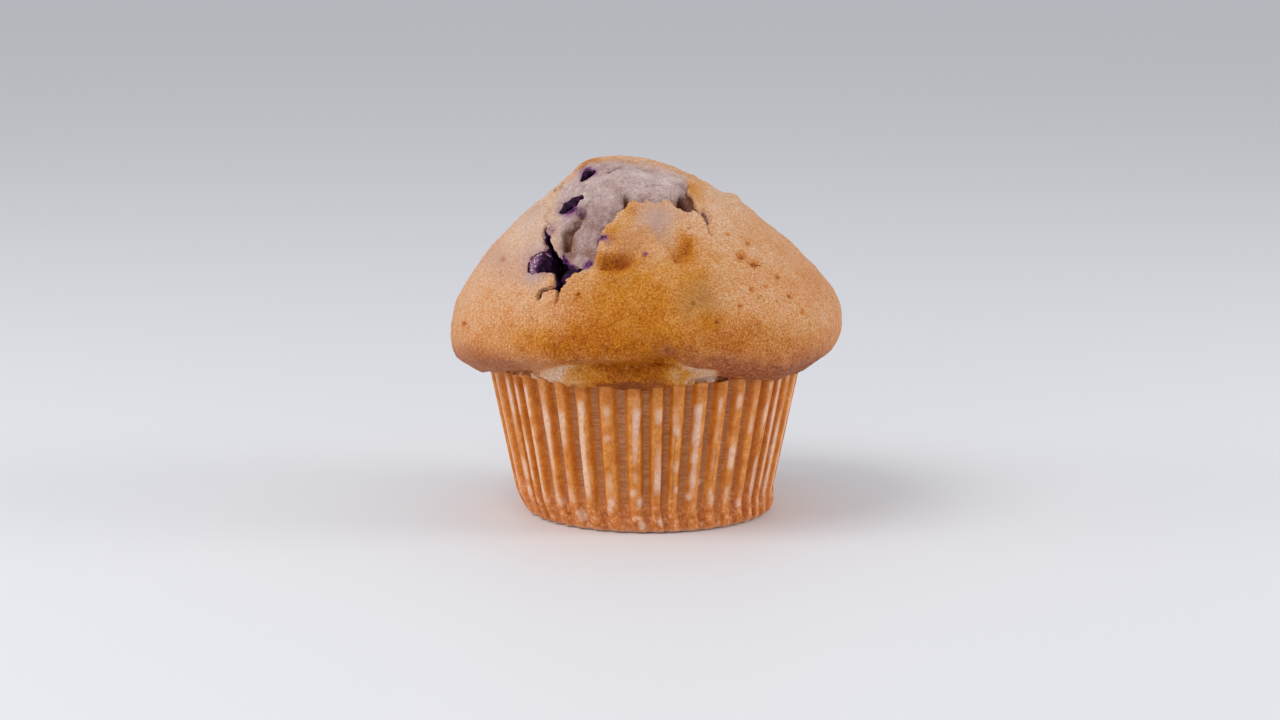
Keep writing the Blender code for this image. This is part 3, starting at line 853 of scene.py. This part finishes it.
def paper_material():
    """Greasy orange paper, dry and pale along the ridges, finely creped in the valleys, whose darker
    grey-brown is partly painted shade between the pleats.
    """
    n = Nodes("baking paper")
    place = n.add("TexCoord", "Object")
    ridge, height, pale = n.attribute("ridge"), n.attribute("height"), n.attribute("pale")
    blotch = n.noise(place, 3.2, 3.0, 0.6)
    stretched = n.add("Mapping", "Vector", Vector=place, Scale=(0.12, 0.12, 1.0))
    crepe = n.noise(stretched, 0.42, 1.5, 0.5)
    grain = n.noise(place, 0.7, 2.0, 0.6)
    oily = n.ramp(blotch, (0.3, (222, 144, 56)), (0.5, (208, 120, 22)), (0.7, (190, 98, 8)))
    face = n.ramp(blotch, (0.3, (234, 166, 104)), (0.5, (218, 142, 62)), (0.7, (202, 116, 32)))
    # grey-brown in the valleys: the crepe, with the valleys' shade painted in
    shaded_valley = n.ramp(crepe, (0.32, (140, 90, 54)), (0.5, (166, 116, 78)), (0.68, (190, 142, 104)))
    colour = n.mix(n.spread(ridge, 0.35, 0.9, 0.0, 0.8), oily, face)
    colour = n.mix(n.spread(ridge, -0.45, -0.95, 0.0, 0.85), colour, shaded_valley)
    colour = n.mix(n.spread(grain, 0.38, 0.66, 0.0, 0.45), colour, shade((166, 82, 22)))
    # darker orange towards the rim: painted shade under the cap's overhang
    colour = n.mix(n.spread(height, 28.0, 35.0, 0.0, 0.18), colour, shade((160, 84, 24)))
    low = n.ramp(n.noise(place, 1.3, 3.0, 0.75), (0.3, (150, 78, 26)), (0.45, (198, 112, 44)),
                 (0.56, (216, 136, 76)), (0.68, (238, 190, 154)))
    colour = n.mix(n.spread(height, 11.0, 3.0, 0.0, 0.85), colour, low)
    dry = n.ramp(grain, (0.3, (214, 166, 134)), (0.7, (240, 208, 186)))
    relief = n.total((crepe, 0.7), (grain, 0.3))
    return n.surface(n.mix(pale, colour, dry), n.spread(pale, 0.0, 1.0, 0.42, 0.7), 0.3, relief, 0.12)


def berry_material():
    """Dark, glossy skin, with pink-purple flesh and pale flecks of batter where it is dry; the pale
    side is partly a painted highlight and the dark side partly painted shade.
    """
    n = Nodes("baked berry")
    place = n.add("TexCoord", "Object")
    dry = n.attribute("dry")
    skin = n.ramp(n.noise(place, 0.9, 4.0, 0.65), (0.35, (12, 4, 14)), (0.52, (34, 10, 36)),
                  (0.70, (84, 32, 78)))
    flesh = n.ramp(n.noise(place, 0.6, 3.0, 0.7), (0.32, (46, 16, 46)), (0.45, (108, 56, 96)),
                   (0.54, (160, 116, 142)), (0.62, (228, 208, 212)))
    wrinkles = n.noise(place, 0.7, 3.0, 0.6)
    return n.surface(n.mix(dry, skin, flesh), n.spread(dry, 0.0, 1.0, 0.26, 0.75), 0.07, wrinkles, 0.3)


# ---- pieces


def finish_piece(obj, material, node):
    obj.data.materials.append(material)
    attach(obj, "root")
    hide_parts(node)


BAKE_AND_LIGHT_COURSE = (
    (30, 0.84), (36, 0.72), (41, 0.64), (46, 0.56), (52, 0.52), (58, 0.44), (64, 0.3), (70, 0.3),
    (82, 0.26),
)  # height, and how much the crust is baked there: partly browning, partly painted light, paler up high as a painted sheen and darker low as painted shade
PATCHES = (
    # place on the front sheet, half sizes, added bake, gold, and where it has them haze, green; the
    # dark golden patches at (-6.6, 56.4) and (9.4, 59.8) are painted shade in the dents under the folds
    ((-4, 41), (18, 8), 0.08, 1), ((-26, 37.5), (12, 4), 0.08, 0.55),
    ((24, 38.5), (14, 4.5), 0.06, 0.6), ((-4, 51), (13, 6.5), 0.06, 0.72),
    ((11, 55.5), (7.5, 5.5), 0.08, 0.6), ((-3.9, 67.5), (2.3, 2.3), 0.2, 0.9),
    ((-8, 64), (2.6, 3), 0.14, 0.8), ((2.6, 66.2), (5, 2.6), 0.28, -0.05, 0.8),
    ((-3, 61.2), (8, 3.4), 0.26, 0.5, 0.2), ((-6.6, 56.4), (4.6, 2), 0.5, 1),
    ((9.4, 59.8), (2.6, 2.2), 0.46, 1), ((11.4, 72.8), (2.3, 2.3), 0.14, 0.8),
    ((35, 41.5), (7, 5), -0.14, 0.1), ((42, 46), (4, 6), -0.12, 0), ((27, 62), (7, 6), 0.12, 0.12),
    ((29, 52), (9, 6), 0.06, 0.05), ((-20.7, 45.2), (5, 4), 0.02, -0.3),
    ((-2, 35), (12, 2.2), 0.05, 0.6), ((-11.8, 79.2), (3.6, 1.6), 0.3, 0.8),
    ((13.3, 47.6), (4.6, 4.4), 0.08, 0.45, 0, 0.4), ((16.8, 42.7), (3, 1.8), 0.02, 0.6),
    ((-24.6, 57.4), (4.4, 4.4), -0.05, 0, 0.55), ((-26, 66), (5, 6), -0.06, 0, 0.4),
    ((-33.5, 56.5), (5, 4), 0.2, 0, 0.5), ((-26.6, 52.3), (2.8, 1.8), 0.12, 0, 0.85),
)
TONGUE_TONES = (
    # right on the front sheet, bake, gold
    (-30, 0.4, 0.1), (-25.5, 0.14, 0), (-18.4, 0.16, 0.05), (-16.6, 0.34, 0.8), (-12.5, 0.42, 1),
    (-10.2, 0.58, 1), (-8.6, 0.68, 1), (3.8, 0.68, 1), (5.4, 0.48, 1), (9.2, 0.32, 0.9),
    (10.8, 0.2, 0.3), (14, 0.14, 0), (22, 0.4, 0.1),
)
LIP_CORNER = (5.4, 36.0)
STAINS = (
    # place on the front sheet, half sizes, strength
    ((-17.6, 68.7), (2.2, 1.2), 0.9), ((-9.6, 61.4), (1.2, 1), 0.75), ((-13.2, 56), (1.5, 1.1), 0.85),
    ((-11.6, 58), (0.6, 0.9), 0.6), ((-24.6, 56.6), (3.7, 3.5), 0.3), ((-13.3, 77.4), (2.2, 1.2), 0.75),
    ((-0.6, 69.6), (1, 0.6), 0.7), ((9.8, 70.4), (1.6, 1.6), 0.15), ((0.4, 58.2), (0.9, 0.6), 0.55),
    ((1.6, 74.4), (1.6, 0.3), 0.4), ((-26, 69.8), (2.6, 0.7), 0.18), ((-21.6, 64), (0.9, 1.6), 0.4),
)
CRUMB_SHADE_AND_TONE = (
    # place on the front sheet, half sizes, how much darker: painted shade in the crumb's hollows,
    # clefts and recess, and a few broad patches of lighter or darker tone
    ((9.5, 70.2), (2.3, 2.3), 0.42), ((-18, 62.4), (1.2, 3), 0.28), ((-15.9, 66.4), (1.2, 1.3), 0.32),
    ((-4.4, 71), (0.7, 1.6), 0.34), ((-7.2, 77.6), (2.4, 0.6), 0.22), ((-21.6, 63.4), (0.9, 1.8), 0.3),
    ((-11.5, 62.6), (3, 4.5), 0.12), ((-5.7, 73), (3, 3), 0.08), ((1.3, 75.8), (7, 3), -0.14),
)


def paint_tongue(points, spots, bake, gold):
    """Colours below the lip in front, with a painted shade band under the lip's crease, how much of
    each point belongs there, and how red it is.
    """
    right, up = spots.T
    crease = np.interp(right, *np.array(LIP_CREASE).T)
    radius = np.hypot(points[:, 0], points[:, 1])
    under = smoothstep((crease - up) / 0.6 + 0.3) * smoothstep((41.5 - radius) / 0.8)
    under *= smoothstep((right + 31) / 3) * smoothstep((18 - right) / 2) * (points[:, 1] < 0)
    places, bakes, golds = np.array(TONGUE_TONES).T
    shifted = right + 1.6 * noise(points, 2.2, 71)
    # the bell term darkens a band just under the lip's crease: painted shade of the overhanging lip
    tone = np.interp(shifted, places, bakes) + 0.06 * bell(crease - up - 0.5, 0.9)
    low = smoothstep((31.8 - up) / 2.2) * bell(right + 3.0, 7.5)
    tone += 0.30 * low
    bake = bake + (tone - bake) * under
    gold = gold + (np.interp(shifted, places, golds) - gold) * under
    return bake, gold, under, 0.25 * low * under


def paint_crust(obj, points, spots, seen, turn):
    """How the crust is coloured: paler to the left and on top, golden in front, red-brown below, partly
    from browning and partly as a painted sheen on the upper left and painted shade low down.
    """
    height = points[:, 2]
    # paler higher up and to the left: partly browning, partly a painted sheen from the upper left;
    # darker low down: partly painted shade
    heights, bakes = np.array(BAKE_AND_LIGHT_COURSE).T
    bake = np.interp(height, heights, bakes) + 0.0018 * points[:, 0]
    bake += 0.07 * noise(points, 14.0, 41) + 0.05 * noise(points, 6.0, 42)
    behind = smoothstep((np.abs(turn) - 90) / 40)
    gold = 0.10 + behind * (0.30 * noise(points, 16.0, 43) + 0.5 * bell(height - 44, 10.0))
    haze, green = np.zeros((2, len(points)))
    wavy = spots + 0.9 * noise_pair(points, 4.0, 44)
    for place, sizes, *added in PATCHES:
        share = seen * spot_bell(wavy, place, sizes)
        for layer, amount in zip((bake, gold, haze, green), added):
            layer += amount * share
    # pits painted darker orange-brown: partly their own tone, partly painted shade inside them
    for place, size, _ in PITS:
        spot = seen * spot_bell(spots, place, 1.4 * size)
        bake, gold = bake + 0.35 * spot, gold + 0.5 * spot
    bake, gold, under, red = paint_tongue(points, spots, bake, gold)
    # a mottled red-brown band along the lip's lower edge, partly browning and partly painted shade
    # where the lip faces down, and a dark mottled spot where the front lobes meet
    above_lip = height - CAP_OUTLINE[0][2] - lip_lift(turn)
    aside = np.interp(turn, (-90, -70, -46, -28, 9, 15), (1, 0.72, 0.8, 0, 0, 1))
    rim = smoothstep((7.4 - above_lip + noise(points, 4.0, 46)) / 4.6) * aside
    rim = np.maximum(rim, 0.8 * seen * spot_bell(wavy, LIP_CORNER, (3.2, 1.6)))
    bake, gold, haze, green, rim = np.clip([bake, gold, haze, green, rim * (1 - under) + red], 0, 1)
    set_attributes(obj, bake=bake, gold=gold, haze=haze, green=green, rim=rim)


def paint_cake(obj, deep):
    """Where the crust is pale, golden or dark, where crumb shows, and where juice stained it, with
    painted shade in the crumb's hollows and the fissure.
    """
    points = mesh_points(obj)
    distance = deep.sample(points)
    outward = deep.outward(points, 1.0)
    spots = front_sheet(points - distance[:, None] * outward)
    seen = front_share(outward) * (points[:, 2] > MARKS_FROM)
    turn = degrees_from_front(points[:, 0], points[:, 1])
    paint_crust(obj, points, spots, seen, turn)

    wavy = spots + ragged(points)
    torn = burst_share(spots, outward)
    burst = smoothstep((0.25 - outline_distance(wavy, BURST_OUTLINE)) / 0.5)
    depth = crust_relief(points, spots, seen) - distance
    inside = smoothstep((depth - CRUST_THICK) / 0.3) * (points[:, 2] > MARKS_FROM + 2)
    inside *= outward[:, 2] > 0
    # darker where the crumb lies deeper, in cracks outside the burst and in the listed hollows: painted
    # shade; also darker towards the bottom of the burst
    tone = 0.58 - 0.18 * np.clip(-distance - 1.2, -0.6, 3.0) - 0.5 * (1 - burst)
    tone -= 0.16 * smoothstep((67 - spots[:, 1]) / 8)
    for place, sizes, darker in CRUMB_SHADE_AND_TONE:
        tone -= darker * spot_bell(wavy, place, sizes)

    # berry juice in and around the fissure, near black inside it: partly juice stain, partly painted
    # shade of the deep fissure
    trench = outline_distance(wavy, TRENCH_OUTLINE)
    stain = bell(np.clip(trench, 0, None), 0.8) * (depth > 0.9) * 0.85
    stain = np.maximum(stain, smoothstep(-trench / 0.3) * np.where(depth > 0.7, 1.0, 0.85))
    for place, sizes, strength in STAINS:
        stain = np.maximum(stain, strength * spot_bell(wavy, place, sizes))
    crumb = np.maximum(burst * (seen > 0.3) * torn, inside)
    set_attributes(obj, crumb=crumb, crumb_tone=tone, stain=np.clip(stain * seen, 0, 1))


def build_cake_and_berries():
    cap = cap_mesh()
    deep = Field(*cap, DEEP_VOXEL, DEEP_BAND)
    berries = []
    for number, kind in enumerate(BERRIES):
        berries.append(Berry(*kind, number, deep))
    field = Field(*cap, VOXEL, BAND)
    sculpt_crust(field)
    carve_burst(field, deep)
    add_tongue(field)
    press_sockets(field, deep, berries)
    prick_pores(field)
    cake = make_object("cake_top", *largest_island(*field.mesh()))
    thin_out(cake, CAKE_TRIANGLES)
    paint_cake(cake, deep)
    finish_piece(cake, cake_material(), "cake")
    material = berry_material()
    for berry in berries:
        build_berry(berry, material)


def build_berry(berry, material):
    ball = bmesh.new()
    bmesh.ops.create_icosphere(ball, subdivisions=5, radius=1.0)
    directions = np.array([vert.co for vert in ball.verts])
    faces = [[vert.index for vert in face.verts] for face in ball.faces]
    ball.free()
    points = berry.skin(directions)
    obj = make_object(berry.name, points, faces)
    set_attributes(obj, dry=berry.dry_and_lit_share(points))
    finish_piece(obj, material, berry.node)


PLEATS = 39
FRONT_RIDGES = (
    -59.5, -54.5, -48.5, -40, -32.5, -23.8, -14.1, -3.6, 4.8, 11.8, 21, 29.1, 37.6, 45.5, 52.8, 59.5,
    66,
)  # degrees from the front
PLEAT_POINTS = 16
CASE_ROWS = 60
PLEAT_TOP, PLEAT_FOOT = 1.0, 0.65  # half the pleats' depth
RIDGE_WIDER = 0.2  # ridges are broader than valleys
FOOT_ROUND, FOOT_SHIFT = 0.6, 1.0  # the foot is rounded a little, and leans right
PAPER = 0.12
FLOOR_RINGS = (0.94, 0.6, 0.02)  # each ring of the floor as a share of the one outside it
DABS = (
    # degrees from the front, height, half size: dry, pale dabs near the foot
    (-14.4, 7.2, 0.9), (-15.2, 5.6, 0.7), (-4.9, 9.6, 0.8), (-1.9, 7.4, 0.9), (30, 7.1, 1),
    (13.6, 10.2, 0.7), (-2.5, 2, 1), (6, 2.6, 0.9), (19, 8.4, 0.7), (-30, 3.4, 1.2), (-39, 6, 0.8),
    (45, 5.2, 0.9), (24, 11.4, 0.6), (-24, 9.4, 0.7),
)


def ridge_course(source):
    """Degrees from the front of every pleat's ridge, the unseen ones spread evenly at random."""
    count = PLEATS - len(FRONT_RIDGES)
    widths = source.uniform(0.8, 1.2, count + 1)
    gap = 360 + FRONT_RIDGES[0] - FRONT_RIDGES[-1]
    rest = FRONT_RIDGES[-1] + gap * np.cumsum(widths)[:-1] / widths.sum()
    return np.concatenate([FRONT_RIDGES, rest, [FRONT_RIDGES[0] + 360]])


def dry_paper(turn, height, aside, pleat):
    """Where the paper is dry and pale: in patches along the ridges, on dabs, and at its foot."""
    front = bell((turn + 180) % 360 - 180, 38.0)
    along = np.stack([pleat * 9.0, pleat * 4.0, height], axis=-1)
    patch = noise(along, 6.0, 52) + 0.5 * noise(along, 2.2, 53)
    each = noise(np.stack([pleat * 11.0, pleat * 0.0, pleat * 0.0], axis=-1), 1.0, 54)
    wander = 0.6 * front * noise(along * (1.0, 1.0, 0.3), 5.0, 55) - 0.35 * (1 - front)
    wide = 0.50 + 0.26 * front * smoothstep(patch + 0.3 * each + 0.3) + 0.18 * patch
    wide += 0.22 * smoothstep((-15.0 - turn) / 20.0)
    line = smoothstep((wide - np.abs(aside - wander)) / 0.35 + 0.5)
    strong = smoothstep(1.15 - 0.80 * front + 0.8 * patch + 0.5 * each)
    top = smoothstep((RIM_HEIGHT - 1.0 - 4.0 * front - height) / 1.5)
    pale = 0.85 * line * strong * top * smoothstep((height - 3.0 - 5.0 * front) / 4.0)
    pale = np.maximum(pale, 0.8 * bell(height, 0.45))
    for middle, level, size in DABS:
        across = np.radians(turn - middle) * RIM_RADIUS * 0.85
        dab = bell(across, size) * bell(height - level, size * 1.3)
        pale = np.maximum(pale, 0.75 * smoothstep(dab * 1.6 - 0.3))
    return pale


def plan_pleats():
    """For each column of the case's points: degrees from the front, the share of its pleat that is
    past, the pleat's depth and lean there, the nearest ridge, and millimetres from that ridge."""
    source = np.random.default_rng(9)
    ridges = ridge_course(source)
    depths = source.uniform(0.85, 1.15, PLEATS + 1)
    leans = source.normal(0, 0.3, PLEATS + 1)
    depths[-1], leans[-1] = depths[0], leans[0]  # the last pleat is the first one again
    columns = np.arange(PLEATS * PLEAT_POINTS) / PLEAT_POINTS
    pleat = columns.astype(int)
    share = columns - pleat
    turn = ridges[pleat] + (ridges[pleat + 1] - ridges[pleat]) * share
    depth = depths[pleat] * (1 - share) + depths[pleat + 1] * share
    lean = leans[pleat] * (1 - share) + leans[pleat + 1] * share
    nearer = np.where(share < 0.5, pleat, pleat + 1) % PLEATS
    aside = np.where(share < 0.5, share, share - 1)
    aside = aside * np.radians(ridges[pleat + 1] - ridges[pleat]) * RIM_RADIUS
    return turn, share, depth, lean, nearer, aside


def build_case():
    """The pleated paper, with folds of uneven width and depth that flatten at its foot."""
    turn, share, depth, lean, nearer, aside = plan_pleats()
    wave = np.cos(2 * math.pi * share) + RIDGE_WIDER
    fold_shape = wave / np.sqrt(wave ** 2 + 0.12)
    points, ridge, pale = [], [], []
    for row in np.linspace(0, 1, CASE_ROWS):
        height = RIM_HEIGHT * row
        rounded = FOOT_ROUND * max(0.0, 1 - height / FOOT_ROUND) ** 2
        middle = FOOT_RADIUS + (RIM_RADIUS - PLEAT_TOP - FOOT_RADIUS) * row - rounded
        size = (PLEAT_FOOT + (PLEAT_TOP - PLEAT_FOOT) * row) * smoothstep((height + 1.6) / 4.0)
        radius = middle + size * depth * fold_shape
        around = np.radians(turn + lean * np.sin(math.pi * row * 1.3 + 3 * share))
        right = FOOT_SHIFT * (1 - smoothstep(height / 6.0)) + radius * np.sin(around)
        level = np.full_like(radius, height)
        points.append(np.stack([right, -radius * np.cos(around), level], axis=-1))
        ridge.append(fold_shape)
        pale.append(dry_paper(turn, level, aside, nearer))
    flat = np.zeros(len(turn))
    for reach in FLOOR_RINGS:
        points.insert(0, points[0] * (reach, reach, 0))
        ridge.insert(0, flat)
        pale.insert(0, flat)
    faces = ring_quads(len(points), len(turn))
    points = np.concatenate(points)
    height = points[:, 2].copy()
    points[:, 2] += 0.35 * noise(points, 5.0, 51) * smoothstep((height - 30) / 6)
    case = make_object("paper_case_sheet", points, faces)
    set_attributes(case, ridge=np.concatenate(ridge), height=height, pale=np.concatenate(pale))
    solidify = case.modifiers.new("paper", "SOLIDIFY")
    solidify.thickness = PAPER * MM
    solidify.offset = -1.0
    finish_piece(case, paper_material(), "paper_case")


# ---- studio

LIGHTS = (
    # name, place, what it shines at, size across, watts
    ("key", (-0.45, -0.35, 0.8), (0, 0, 0.05), 0.6, 3.3),
    ("right", (0.75, -0.1, 0.3), (0, 0, 0.05), 0.4, 2.35),
    ("left", (-0.75, -0.1, 0.26), (0, 0, 0.05), 0.4, 1.3),
    ("low", (-0.35, -0.85, 0.06), (0, 0, 0.01), 0.5, 1.2),
)
FLOOR_HALF, FLOOR_DROP = 20_000.0, 0.2  # half its side, and how far it lies below the case


def area_light(name, place, target, size, watts):
    light = bpy.data.lights.new(name, "AREA")
    light.shape = "DISK"
    light.size = size
    light.energy = watts
    obj = bpy.data.objects.new(name, light)
    obj.location = place
    obj.rotation_euler = (Vector(target) - Vector(place)).to_track_quat("-Z", "Y").to_euler()
    bpy.context.scene.collection.objects.link(obj)


def build_studio():
    corners = np.array([(-1, -1, 0), (1, -1, 0), (1, 1, 0), (-1, 1, 0)]) * FLOOR_HALF
    floor = make_object("floor", corners, [(0, 1, 2, 3)])
    floor.location.z = -FLOOR_DROP * MM
    floor.data.materials.append(Nodes("studio floor").surface(shade((226, 226, 228)), 0.6, 0.5))
    world = bpy.data.worlds.new("studio")
    world.use_nodes = True
    background = world.node_tree.nodes["Background"]
    background.inputs["Color"].default_value = (0.92, 0.94, 1.0, 1.0)
    background.inputs["Strength"].default_value = 0.62
    bpy.context.scene.world = world
    for light in LIGHTS:
        area_light(*light)


def build_camera():
    camera = bpy.data.cameras.new("camera")
    camera.lens, camera.sensor_width = LENS, SENSOR
    camera.clip_start = 0.01
    obj = bpy.data.objects.new("camera", camera)
    right, up = EYE_AIM
    middle = np.array([right, up * EYE_SINE, up * EYE_COSINE])
    obj.location = (middle + EYE_DISTANCE * np.array([0.0, -EYE_COSINE, EYE_SINE])) * MM
    obj.rotation_euler = (math.pi / 2 - EYE_ELEVATION, 0.0, 0.0)
    bpy.context.scene.collection.objects.link(obj)
    bpy.context.scene.camera = obj


build_camera()
build_studio()
build_cake_and_berries()
build_case()
bpy.context.scene.view_settings.view_transform = "Standard"
